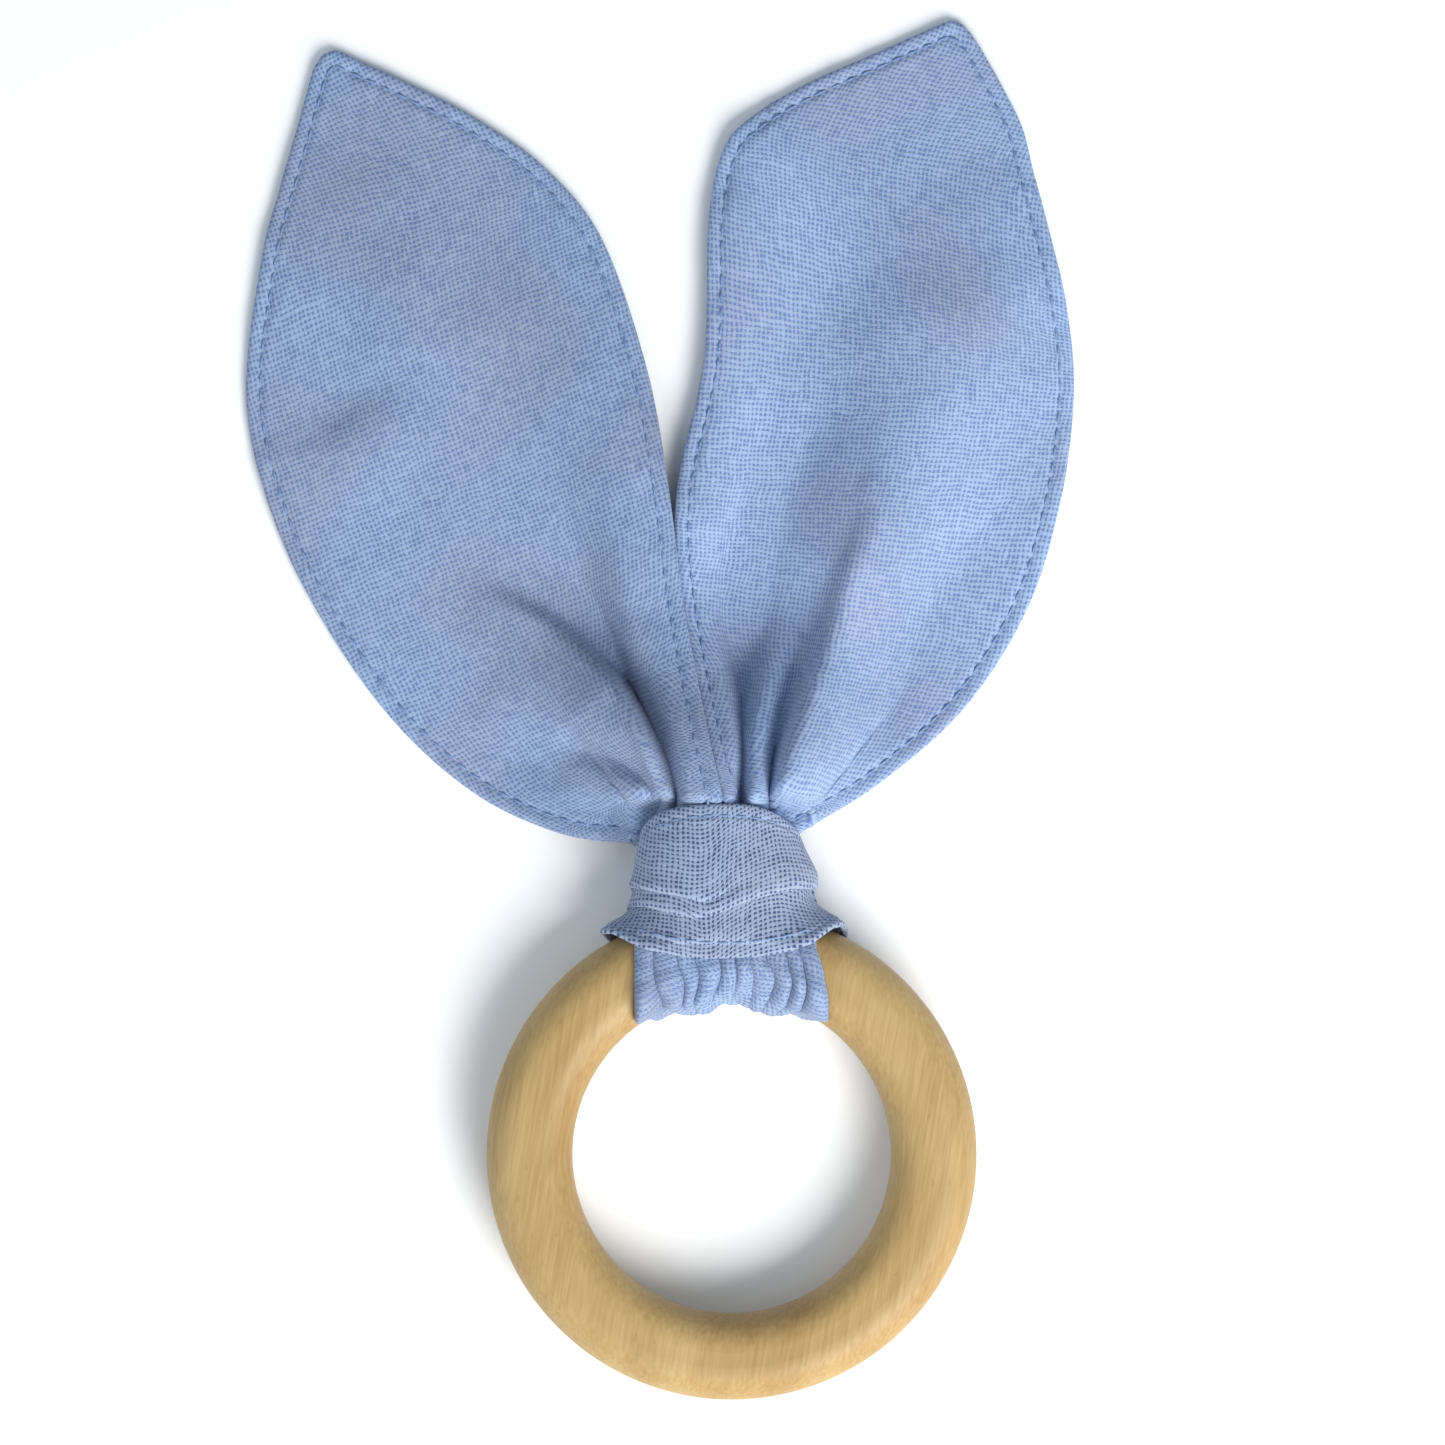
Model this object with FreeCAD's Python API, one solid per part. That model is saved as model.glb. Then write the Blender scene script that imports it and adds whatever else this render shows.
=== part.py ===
"""Teething ring: a wooden ring with a cotton strip tied to it by a cow hitch, its two ends cut as leaf-shaped ears.

The frame's origin is the centre of the ring. +Z is the ring's axis, towards the front of the hitch, and +Y points
from the ring to the ears. The part lies on its back, with the hitch and the ears resting on a level surface.
All sizes are in millimetres.

The strip is a front cloth and a back cloth, seamed together along their edges, turned right side out and
topstitched. Its front cloth is the outer one all the way round the hitch. Each node is one of those pieces over one
stretch of the strip: ear, root, tail, leg or band.
"""

import FreeCAD, Part

import math
import os

from FreeCAD import Vector

# Wooden ring
RING_OUTER_D = 70.0
RING_INNER_D = 45.5
RING_THICK = 11.0
RING_ROUND = 5.0  # radius of the rounded corners of its section
SLIP = 0.25  # clearance between cloth and wood

# Cloth
CLOTH_T = 0.45  # one layer
CLOTH_GAP = 0.6  # between the two layers
GATHER_T = 1.5  # both layers, gathered, where the strip goes round the rim
BAND_T = 1.0  # both layers, pulled flat across the front
LAYER_GAP = 0.05  # between layers that lie on each other
ALLOWANCE_T = 0.25  # a turned-in edge, pressed flat
ALLOWANCE_W = 6.0
ALLOWANCE_INSET = 0.9  # from the ear's edge

# Thread
THREAD_R = 0.18
SEAM_THREAD_R = 0.08
THREAD_CLEAR = 0.16  # under a stitch, which is straight where the cloth is curved
STITCH_PITCH = 3.0
STITCH_LENGTH = 2.0
SEAM_INSET = 0.45  # the seam, from the edge
HEM = 2.9  # the ears' topstitching, from the edge
BAND_HEM = 2.4  # the band's, from its lower edge
BAND_REACH = 10.0  # half-length of the stitching along its lower edge
BAND_TOP_HEM = 1.2  # and from its top edge
BAND_TOP_REACH = 8.4  # half-length of the stitching along its top edge

# Hitch
TAIL_HALF_W = 13.8  # both tails side by side, over the front of the rim
LEG_HALF_W = 17.2  # both legs side by side, behind the rim
CHORD_Y = 19.4  # the cloth crosses the hole's edge no lower than this
BAND_X = -1.2  # middle of the band
BAND_TOP_Y = 49.6
BAND_FRONT_Z = 9.4
BARREL = [(34.0, 13.6, 1.0), (41.0, 13.5, 1.0), (BAND_TOP_Y, 12.0, 0.86)]  # y, half-width, share of half-height
HEM_R = 41.7  # radius of the curve that the band's lower hem follows
HEM_Y = 28.3  # lowest point of that hem

# Ears
FAN_Y = BAND_TOP_Y - 2  # their ridges fan out from here
RIDGE_RISE = 9.0  # each ridge reaches its height this far out
LANDING = 25.0  # an ear comes down to the surface this far out
FOLD_Y = 60.0  # the line across both ears where they fold forward
FOLD_CLEAR = 0.3
FOLD_FLAT = 6.5  # half-width of the strip along that line that stays level

RIM_R = (RING_OUTER_D + RING_INNER_D) / 4  # centre of the rim's section
RIM_HALF_W = (RING_OUTER_D - RING_INNER_D) / 4
RIM_HALF_T = RING_THICK / 2
WRAP = SLIP + GATHER_T  # from the wood to the outside of the gathered strip
REST_Z = -(RIM_HALF_T + WRAP)  # the surface that the part lies on
PLY = CLOTH_GAP / 2 + CLOTH_T  # from the middle of the strip to its face
STITCH_OVER = THREAD_R + THREAD_CLEAR  # from the cloth to the middle of a stitch
LIE_Z = REST_Z + PLY + STITCH_OVER + THREAD_R  # the middle of the strip where it lies flat
MOUTH_Z = 1.2  # the middle of the strip where it leaves the band
FOLD_Z = REST_Z + 3.7  # and along the fold line
BIG = 400.0
Z_AXIS = Vector(0, 0, 1)

# Each ear's two edges in plan, from inside the hitch to the tip, as (x, y). Its ridges run out from the hitch, and
# each is (direction in degrees from +X, half-width in degrees, height, length).
EARS = {
    "left": {
        "outer": [(-13.4, 44.6), (-24, 45.6), (-36, 50.8), (-47.5, 60.6), (-57.6, 74.2), (-65.6, 90),
                  (-69.9, 108), (-67.8, 128), (-61.6, 151.5), (-59.2, 157.6)],
        "inner": [(-0.9, 43.5), (-4.4, 64.5), (-7.5, 80), (-9.1, 96), (-12.2, 113), (-18, 132),
                  (-28.5, 144.2), (-43.8, 152.8), (-57, 158.3)],
        "ridges": [(101, 12, 5.5, 85), (128, 12, 3.0, 45), (152, 14, 3.4, 34)],
    },
    "right": {
        "outer": [(9.4, 45.4), (21, 52.8), (33.3, 63.5), (42.5, 77.8), (47.5, 94), (49.3, 109),
                  (47, 130), (40.9, 149.2), (35, 161)],
        "inner": [(-0.3, 43.5), (-3.8, 64.5), (-6.9, 80), (-8.2, 94), (-4.9, 109), (-3.5, 127),
                  (-2.9, 139), (-0.4, 146.4), (6, 151.6), (18, 157.2), (32.4, 162.6)],
        "ridges": [(87, 7, 4.4, 70), (72, 7, 4.0, 60), (48, 14, 3.2, 75)],
    },
}
GRID = 5.0  # spacing of the points that an ear's surface goes through
INSET_POINTS = 60


def smooth(x):
    """0 below 0, 1 above 1, and an even slope in between."""
    x = min(max(x, 0.0), 1.0)
    return x * x * (3 - 2 * x)


def box(low, high):
    """A box between two opposite corners."""
    size = Vector(*high) - Vector(*low)
    return Part.makeBox(size.x, size.y, size.z, Vector(*low))


def rectangle(low, high):
    """A rectangle between two opposite corners in the XY plane."""
    return Part.makePlane(high[0] - low[0], high[1] - low[1], Vector(*low, 0))


def upright(plan):
    """A flat shape in the XY plane, as a prism that goes through everything."""
    return plan.translated(Vector(0, 0, -BIG)).extrude(Vector(0, 0, 2 * BIG))


def surface_z(shape, x, y):
    """The highest point of a shape above a place in plan."""
    plumb = Part.makeLine(Vector(x, y, -BIG), Vector(x, y, BIG))
    return plumb.section(shape).BoundBox.ZMax


def stitches(points, radius):
    """A stitch from each point part of the way to the next."""
    made = []
    for start, after in zip(points, points[1:]):
        if (after - start).Length < 1.5 * STITCH_PITCH:
            made.append(Part.makeCylinder(radius, STITCH_LENGTH, start, after - start))
    return made


# ---------------------------------------------------------------- wooden ring


def rim_section(grow):
    """The rim's rounded section, larger all round by grow, as a face in the XZ plane."""
    r = RING_ROUND + grow
    x = RIM_HALF_W - RING_ROUND
    z = RIM_HALF_T - RING_ROUND
    d = r * math.sqrt(0.5)
    corners = [(1, 1), (-1, 1), (-1, -1), (1, -1)]
    arcs = []
    for turn, (sx, sz) in enumerate(corners):
        centre = Vector(RIM_R + sx * x, 0, sz * z)
        side = centre + Vector(sx * r, 0, 0)
        face = centre + Vector(0, 0, sz * r)
        start, end = (side, face) if turn % 2 == 0 else (face, side)
        arcs.append(Part.Arc(start, centre + Vector(sx * d, 0, sz * d), end))
    loop = []
    for arc, after in zip(arcs, arcs[1:] + arcs[:1]):
        loop += [arc.toShape(), Part.LineSegment(arc.EndPoint, after.StartPoint).toShape()]
    return Part.Face(Part.Wire(loop))


def rim(grow=0.0):
    """The whole ring, with its surface moved out by grow."""
    return rim_section(grow).revolve(Vector(0, 0, 0), Z_AXIS, 360)


# ---------------------------------------------------------------- hitch


def sleeve(inner, outer):
    """Cloth round the rim, between two distances from the wood."""
    return rim(outer).cut(rim(inner))


def half(side, middle=0.0):
    """Everything on one side of the plane x = middle, with a hair's breadth between the two sides."""
    low, high = (-BIG, middle - LAYER_GAP) if side == "left" else (middle + LAYER_GAP, BIG)
    return box((low, -BIG, -BIG), (high, BIG, BIG))


def tail_region():
    """Where the tails come up through the hole and cross the front of the rim."""
    return box((-TAIL_HALF_W, CHORD_Y, 0), (TAIL_HALF_W, BIG, BIG))


def leg_region():
    """Where the legs go down behind the rim into the hole, narrowing as they go."""
    right = [(TAIL_HALF_W, CHORD_Y), (LEG_HALF_W, RIM_R), (LEG_HALF_W, BIG)]
    left = [(-x, y) for x, y in reversed(right)]
    corners = [Vector(x, y, REST_Z) for x, y in right + left]
    return Part.Face(Part.makePolygon(corners + corners[:1])).extrude(Vector(0, 0, -REST_Z))


def hem_y(x, inset):
    """The band's lower hem, or a line the inset above it."""
    return HEM_Y + HEM_R - math.sqrt((HEM_R - inset) ** 2 - (x - BAND_X) ** 2)


def band_lower_region():
    """Where the band lies over the tails on the front of the rim, from its curved hem to the rim's outer edge."""
    hem = Part.makeCylinder(HEM_R, RING_THICK, Vector(BAND_X, HEM_Y + HEM_R, 0))
    return hem.common(box((-LEG_HALF_W, 0, 0), (LEG_HALF_W, RING_OUTER_D, RING_THICK)))


def barrel(shrink):
    """The round body of the hitch beyond the rim, with its surface moved in by shrink."""
    bottom = REST_Z + LAYER_GAP
    middle = (BAND_FRONT_Z + bottom) / 2
    wires = []
    for y, half_width, share in BARREL:
        half_height = share * (BAND_FRONT_Z - bottom) / 2
        ellipse = Part.Ellipse(Vector(0, 0, 0), half_width - shrink, half_height - shrink).toShape()
        ellipse.rotate(Vector(0, 0, 0), Vector(1, 0, 0), 90)
        wires.append(Part.Wire(ellipse.translated(Vector(BAND_X, y, middle))))
    return Part.makeLoft(wires, True)


def stations(reach):
    """Places across the band, a stitch apart, as far out as reach on both sides of its middle."""
    count = int(reach / STITCH_PITCH)
    return [BAND_X + i * STITCH_PITCH for i in range(-count, count + 1)]


def band_stitches(lower, upper):
    """The stitching along the band's two edges, over its front cloth."""
    cloth = Part.makeCompound([lower, upper])
    lines = {
        "lower": [(x, hem_y(x, BAND_HEM)) for x in stations(BAND_REACH)],
        "upper": [(x, BAND_TOP_Y - BAND_TOP_HEM) for x in stations(BAND_TOP_REACH)],
    }
    rows = {}
    for place, line in lines.items():
        tops = [Vector(x, y, surface_z(cloth, x, y) + STITCH_OVER) for x, y in line]
        rows[f"band_{place}_topstitch"] = Part.makeCompound(stitches(tops, THREAD_R))
    return rows


def hitch_shapes():
    """The tails, legs and band, and the strip's bunched core inside the band."""
    shapes = {}
    middle = SLIP + GATHER_T / 2
    layers = {
        "back": sleeve(SLIP, middle - LAYER_GAP / 2),
        "front": sleeve(middle + LAYER_GAP / 2, WRAP),
    }
    band_layers = {
        "back": (WRAP + LAYER_GAP, WRAP + BAND_T / 2),
        "front": (WRAP + BAND_T / 2 + LAYER_GAP, WRAP + BAND_T),
    }
    barrel_layers = {
        "back": barrel(BAND_T / 2 + LAYER_GAP).cut(barrel(BAND_T)),
        "front": barrel(0).cut(barrel(BAND_T / 2)),
    }
    bunch = barrel(BAND_T + LAYER_GAP).cut(rim(WRAP + LAYER_GAP))
    for face, cloth in layers.items():
        for side in EARS:
            shapes[f"{side}_tail_{face}_cloth"] = cloth.common(tail_region()).common(half(side))
            shapes[f"{side}_leg_{face}_cloth"] = cloth.common(leg_region()).common(half(side))
        lower = sleeve(*band_layers[face]).common(band_lower_region())
        shapes[f"band_lower_{face}_cloth"] = lower.cut(barrel(BAND_T))
        shapes[f"band_upper_{face}_cloth"] = barrel_layers[face].cut(rim(WRAP + BAND_T + LAYER_GAP))
    for side in EARS:
        shapes[f"{side}_tail_bunched"] = bunch.common(half(side, BAND_X))
    shapes.update(band_stitches(shapes["band_lower_front_cloth"], shapes["band_upper_front_cloth"]))
    return shapes


# ---------------------------------------------------------------- ears and roots


def middle_z(ear, x, y):
    """Height of the middle of the strip. It leaves the band, comes down to the surface, and rises at each ridge."""
    dx = x - BAND_X
    dy = max(y - FAN_Y, 0)
    reach = math.hypot(dx, dy)
    angle = math.degrees(math.atan2(dy, dx))
    z = LIE_Z + (MOUTH_Z - LIE_Z) * (1 - smooth(reach / LANDING))
    for direction, width, height, length in ear["ridges"]:
        along = smooth(reach / RIDGE_RISE) * (1 - smooth(reach / length))
        z += height * along * smooth(1 - abs(angle - direction) / width)
    level = math.exp(-(((y - FOLD_Y) / FOLD_FLAT) ** 2))
    return z + (FOLD_Z - z) * level


def middle_face(ear, outline):
    """The middle surface of the strip, over a rectangle a little larger than the ear."""
    bounds = outline.BoundBox
    across = math.ceil(bounds.XLength / GRID) + 2
    along = math.ceil(bounds.YLength / GRID) + 2
    points = []
    for i in range(across):
        x = bounds.XMin + (i - 0.5) * GRID
        ys = [bounds.YMin + (j - 0.5) * GRID for j in range(along)]
        points.append([Vector(x, y, middle_z(ear, x, y)) for y in ys])
    surface = Part.BSplineSurface()
    surface.interpolate(points)
    return surface.toShape()


def ear_outline(ear):
    """The ear in plan, as a flat face."""
    edges = []
    for name in ("outer", "inner"):
        curve = Part.BSplineCurve()
        curve.interpolate([Vector(x, y, 0) for x, y in ear[name]])
        edges.append(curve)
    outer, inner = edges
    foot = Part.LineSegment(inner.StartPoint, outer.StartPoint)
    tip = Part.LineSegment(outer.EndPoint, inner.EndPoint)
    return Part.Face(Part.Wire(Part.__sortEdges__([c.toShape() for c in (outer, tip, inner, foot)])))


def inset(outline, distance):
    """The outline moved in by a distance, as one smooth loop."""
    places = outline.makeOffset2D(-distance).OuterWire.discretize(Number=INSET_POINTS)
    loop = Part.BSplineCurve()
    loop.interpolate(places[:-1], True)
    return Part.Face(Part.Wire(loop.toShape()))


def layer(middle, low, high, region):
    """Cloth between two heights above the middle of the strip, over a region in plan."""
    return middle.translated(Vector(0, 0, low)).extrude(Vector(0, 0, high - low)).common(upright(region))


def stitch_line(middle, outline, distance, height, radius):
    """Stitches all round, the same distance in from an ear's edge and the same height above its middle surface."""
    places = inset(outline, distance).OuterWire.discretize(Distance=STITCH_PITCH)
    return stitches([Vector(p.x, p.y, surface_z(middle, p.x, p.y) + height) for p in places], radius)


def stretch_plan(stretch, clear):
    """The plan of one stretch: beyond the fold line, or between it and the band, clear of both."""
    if stretch == "ear":
        return rectangle((-BIG, FOLD_Y + clear), (BIG, BIG))
    half_band = BARREL[0][1] + clear
    band = rectangle((BAND_X - half_band, 0), (BAND_X + half_band, BAND_TOP_Y + clear))
    return rectangle((-BIG, 0), (BIG, FOLD_Y - clear)).cut(band)


def ear_shapes(side, ear):
    """The layers and threads of one end of the strip, each in two nodes that meet at the fold line."""
    outline = ear_outline(ear)
    middle = middle_face(ear, outline)
    turned_in = inset(outline, ALLOWANCE_INSET).cut(inset(outline, ALLOWANCE_INSET + ALLOWANCE_W))
    pressed = LAYER_GAP / 2
    cloths = {
        "front_cloth": (CLOTH_GAP / 2, PLY, outline),
        "back_cloth": (-PLY, -CLOTH_GAP / 2, outline),
        "front_allowance": (pressed, pressed + ALLOWANCE_T, turned_in),
        "back_allowance": (-pressed - ALLOWANCE_T, -pressed, turned_in),
    }
    over = PLY + STITCH_OVER
    threads = {
        "front_topstitch": stitch_line(middle, outline, HEM, over, THREAD_R),
        "back_topstitch": stitch_line(middle, outline, HEM, -over, THREAD_R),
        "seam": stitch_line(middle, outline, SEAM_INSET, 0, SEAM_THREAD_R),
    }
    shapes = {}
    for stretch in ("ear", "root"):
        plan = stretch_plan(stretch, FOLD_CLEAR)
        for name, (low, high, region) in cloths.items():
            shapes[f"{side}_{stretch}_{name}"] = layer(middle, low, high, region.common(plan))
        space = upright(stretch_plan(stretch, STITCH_PITCH))
        for name, row in threads.items():
            inside = [stitch for stitch in row if space.isInside(stitch.CenterOfMass, 0, True)]
            shapes[f"{side}_{stretch}_{name}"] = Part.makeCompound(inside)
    return shapes


# ---------------------------------------------------------------- part

shapes = {"wooden_ring": rim()}
shapes.update(hitch_shapes())
for side, ear in EARS.items():
    shapes.update(ear_shapes(side, ear))

os.makedirs("parts", exist_ok=True)
for name, shape in shapes.items():
    shape.exportStep(f"parts/{name}.step")
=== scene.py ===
"""Looks of the teething ring: a wooden ring and the cotton strip tied to it, with its folds and stitching.

Shapes are worked out in millimetres and turned into metres as each mesh is made. +Z is the side that faces
up, and +Y points from the ring to the ears. A sheet is a grid of points on the middle of the cloth. Both
faces of the cloth stand off that grid and are joined round the edge.
"""

import math

import bpy
import numpy as np
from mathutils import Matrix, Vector
from mathutils.bvhtree import BVHTree


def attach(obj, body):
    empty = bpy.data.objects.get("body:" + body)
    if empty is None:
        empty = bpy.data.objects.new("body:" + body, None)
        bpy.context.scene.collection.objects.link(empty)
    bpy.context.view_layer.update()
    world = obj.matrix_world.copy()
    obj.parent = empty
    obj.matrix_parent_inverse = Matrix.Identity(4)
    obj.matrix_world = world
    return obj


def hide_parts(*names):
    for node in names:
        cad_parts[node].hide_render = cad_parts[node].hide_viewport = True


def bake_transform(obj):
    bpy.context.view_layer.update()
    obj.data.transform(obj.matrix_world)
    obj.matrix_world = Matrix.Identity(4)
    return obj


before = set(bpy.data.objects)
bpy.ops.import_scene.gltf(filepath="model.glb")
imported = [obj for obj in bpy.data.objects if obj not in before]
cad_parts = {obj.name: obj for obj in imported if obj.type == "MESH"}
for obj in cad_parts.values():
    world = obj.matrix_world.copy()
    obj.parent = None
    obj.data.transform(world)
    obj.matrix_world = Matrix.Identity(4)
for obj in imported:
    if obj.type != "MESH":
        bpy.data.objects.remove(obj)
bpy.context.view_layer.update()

MM = 0.001

# Wooden ring, as in the CAD
RIM_R = 28.875
RIM_HALF_W = 6.125
RIM_HALF_T = 5.5
RING_ROUND = 5.0

# Cloth
REST_Z = -7.25  # the surface that the part lies on
LIE_Z = -6.2  # middle of an ear where it lies flat
LYING_SOFT = 0.6  # how gradually it settles onto that
EAR_T = 1.0
HEM_T = 1.25
STITCH_DIP = 0.5
HEM = 2.1  # the ears' topstitching, from the edge
BAND_T = 0.5
TAILS_T = 0.45
THINNEST = 0.12  # of any cloth, at its edges and under stitches

# Stitches: (from one to the next, length, radius)
EAR_STITCH = (2.4, 1.85, 0.2)
BAND_STITCH = (2.3, 1.8, 0.17)

# Hitch
BAND_X = -1.2
NECK_Z = 0.9  # middle of the bunched strip
BAND_OVER_WOOD = 2.2  # middle of the band in front
BEHIND_WOOD = 0.7  # and behind
BAND_SOFT = 2.2  # how gradually it leaves the wood for the bunched strip


# ---------------------------------------------------------------- sums


def smooth(x):
    """0 below 0, 1 above 1, and an even slope in between."""
    x = np.clip(x, 0, 1)
    return x * x * (3 - 2 * x)


def spline(points, count):
    """A smooth curve through the points, cut into count places."""
    p = np.array(points, float)
    p = np.vstack([2 * p[0] - p[1], p, 2 * p[-1] - p[-2]])
    s = np.linspace(0, len(p) - 3, count)
    i = np.minimum(s.astype(int), len(p) - 4)
    f = (s - i)[:, None]
    a, b, c, d = p[i], p[i + 1], p[i + 2], p[i + 3]
    return 0.5 * (2 * b + (c - a) * f + (2 * a - 5 * b + 4 * c - d) * f**2 + (3 * b - a - 3 * c + d) * f**3)


def evenly(line, step):
    """Places along a line, a step apart."""
    gaps = np.linalg.norm(np.diff(line, axis=0), axis=1)
    along = np.concatenate([[0], np.cumsum(gaps)])
    wanted = np.arange(0, along[-1], step)
    return np.stack([np.interp(wanted, along, line[:, k]) for k in range(line.shape[1])], axis=1)


def to_line(xy, line):
    """Distance from a line in plan, positive to its left, and how far along it the nearest place is."""
    line = np.asarray(line, float)
    lengths = np.linalg.norm(np.diff(line, axis=0), axis=1)
    best = np.full(xy.shape[:-1], np.inf)
    side = np.zeros_like(best)
    share = np.zeros_like(best)
    done = 0.0
    for a, b, length in zip(line[:-1], line[1:], lengths):
        ab = b - a
        off = xy - a
        t = np.clip(off @ ab / length**2, 0, 1)
        away = np.linalg.norm(off - t[..., None] * ab, axis=-1)
        nearer = away < best
        best = np.where(nearer, away, best)
        side = np.where(nearer, np.sign(ab[0] * off[..., 1] - ab[1] * off[..., 0]), side)
        share = np.where(nearer, (done + t * length) / lengths.sum(), share)
        done += length
    return best * side, share


def waves(xy, size, seed):
    """Soft random unevenness between about -1 and 1, its bumps about this size across."""
    rng = np.random.RandomState(seed)
    total = np.zeros(xy.shape[:-1])
    for _ in range(7):
        angle = rng.uniform(0, math.pi)
        turn = np.array([math.cos(angle), math.sin(angle)]) * rng.uniform(0.7, 1.4) * math.pi / size
        total += np.sin(xy @ turn + rng.uniform(0, 2 * math.pi))
    return total / 3


def normals(grid):
    """Directions square to a grid's surface."""
    along = np.gradient(grid, axis=0)
    across = np.gradient(grid, axis=1)
    n = np.cross(across, along)
    return n / np.maximum(np.linalg.norm(n, axis=-1, keepdims=True), 1e-9)


def flat_lengths(grid):
    """Where each point of a grid lies in the flat cloth: across from the middle column, and along it."""
    across = np.linalg.norm(np.diff(grid, axis=1), axis=-1)
    u = np.concatenate([np.zeros((len(grid), 1)), np.cumsum(across, axis=1)], axis=1)
    middle = grid.shape[1] // 2
    u -= u[:, middle : middle + 1]
    along = np.linalg.norm(np.diff(grid[:, middle], axis=0), axis=-1)
    v = np.concatenate([[0], np.cumsum(along)])[:, None] * np.ones(grid.shape[1])
    return np.stack([u, v], axis=-1)


# ---------------------------------------------------------------- meshes


def make_object(name, points, faces, material, flat=None):
    """A mesh object from points in millimetres. flat has the places of its points in the flat cloth."""
    mesh = bpy.data.meshes.new(name)
    mesh.from_pydata((points * MM).tolist(), [], faces.tolist())
    mesh.validate()
    mesh.shade_smooth()
    if flat is not None:
        layer = mesh.uv_layers.new(name="cloth")
        corner = np.empty(len(mesh.loops), int)
        mesh.loops.foreach_get("vertex_index", corner)
        layer.data.foreach_set("uv", flat[corner].ravel())
    made = bpy.data.objects.new(name, mesh)
    mesh.materials.append(material)
    bpy.context.collection.objects.link(made)
    return made


def quads(rows, columns, start=0):
    """The faces of a grid of points."""
    i = np.arange(rows - 1)[:, None] * columns + np.arange(columns - 1)[None, :] + start
    i = i.ravel()
    return np.stack([i, i + 1, i + columns + 1, i + columns], axis=1)


def sheet(name, grid, thickness, material):
    """Cloth with two faces, half its thickness each side of a grid, joined round the edge."""
    rows, columns = grid.shape[:2]
    n = normals(grid)
    half = thickness[..., None] / 2
    points = np.concatenate([(grid + n * half).reshape(-1, 3), (grid - n * half).reshape(-1, 3)])
    flat = flat_lengths(grid).reshape(-1, 2)
    count = rows * columns
    front = quads(rows, columns)
    back = quads(rows, columns, count)[:, ::-1]
    index = np.arange(count).reshape(rows, columns)
    loop = np.concatenate([index[0], index[1:, -1], index[-1, -2::-1], index[-2:0:-1, 0]])
    after = np.roll(loop, -1)
    edge = np.stack([after, loop, loop + count, after + count], axis=1)
    faces = np.concatenate([front, back, edge])
    return make_object(name, points, faces, material, np.concatenate([flat, flat]))


def stitching(name, places, ups, length, radius, material):
    """A row of stitches. Each starts at one place, points to the next and dips into the cloth at its ends."""
    rings, sides = 6, 7
    t = np.linspace(0, 1, rings)
    angles = np.arange(sides) * 2 * math.pi / sides
    points, faces = [], []
    for start, after, up in zip(places[:-1], places[1:], ups[:-1]):
        gap = np.linalg.norm(after - start)
        if gap > 2 * length:
            continue
        along = (after - start) / gap
        up = up - along * (up @ along)
        up /= np.linalg.norm(up)
        side = np.cross(along, up)
        first = len(points) * rings * sides
        arch = np.sin(math.pi * t)
        middle = start + along * (t[:, None] * length) + up * (radius * (0.9 * arch[:, None] - 0.35))
        size = radius * (0.45 + 0.55 * arch)
        ring = np.cos(angles)[:, None] * side + np.sin(angles)[:, None] * up
        points.append((middle[:, None] + size[:, None, None] * ring[None]).reshape(-1, 3))
        for r in range(rings - 1):
            for k in range(sides):
                a = first + r * sides + k
                b = first + r * sides + (k + 1) % sides
                faces.append([a, b, b + sides, a + sides])
    return make_object(name, np.concatenate(points), np.array(faces), material)


def drop(cloth, places, from_below=False):
    """Where lines straight down, or straight up, first meet a cloth, and the directions square to it."""
    mesh = cloth.data
    tree = BVHTree.FromPolygons([v.co for v in mesh.vertices], [p.vertices for p in mesh.polygons])
    reach = -0.1 if from_below else 0.1
    found, ups = [], []
    for x, y in places * MM:
        hit, up, _, _ = tree.ray_cast(Vector((x, y, reach)), Vector((0, 0, -reach)).normalized())
        if hit is not None:
            found.append(np.array(hit) / MM)
            ups.append(np.array(up))
    return np.array(found), np.array(ups)


# ---------------------------------------------------------------- materials


def node(tree, kind, inputs=(), **settings):
    """A shader node. Each of its inputs is set to a value or linked from another node's output."""
    made = tree.nodes.new("ShaderNode" + kind)
    for key, value in settings.items():
        setattr(made, key, value)
    for key, value in dict(inputs).items():
        if isinstance(value, bpy.types.NodeSocket):
            tree.links.new(value, made.inputs[key])
        else:
            made.inputs[key].default_value = value
    return made


def calc(tree, operation, *values):
    """The result of one sum in a shader."""
    return node(tree, "Math", enumerate(values), operation=operation).outputs[0]


def blend_colour(tree, share, first, second):
    """From the first colour to the second as the share goes from 0 to 1."""
    return node(tree, "MixRGB", {"Fac": share, "Color1": first, "Color2": second}).outputs[0]


def noise(tree, where, scale, detail=2.0):
    """Soft random values from 0 to 1."""
    return node(tree, "TexNoise", {"Vector": where, "Scale": scale, "Detail": detail}).outputs["Fac"]


def linear(red, green, blue):
    """A colour for a shader, from the numbers from 0 to 255 that a screen shows."""
    parts = [c / 255 for c in (red, green, blue)]
    return tuple(c / 12.92 if c <= 0.04045 else ((c + 0.055) / 1.055) ** 2.4 for c in parts) + (1.0,)


def new_material(name):
    """A material, its node tree and its shader."""
    material = bpy.data.materials.new(name)
    material.use_nodes = True
    tree = material.node_tree
    return material, tree, tree.nodes["Principled BSDF"]


def finish_shader(tree, shader, colour, height, distance, strength, roughness):
    """Colour and fine relief, onto the material's shader."""
    bump = node(tree, "Bump", {"Height": height, "Distance": distance * MM, "Strength": strength})
    tree.links.new(colour, shader.inputs["Base Color"])
    tree.links.new(bump.outputs[0], shader.inputs["Normal"])
    shader.inputs["Roughness"].default_value = roughness


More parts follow.
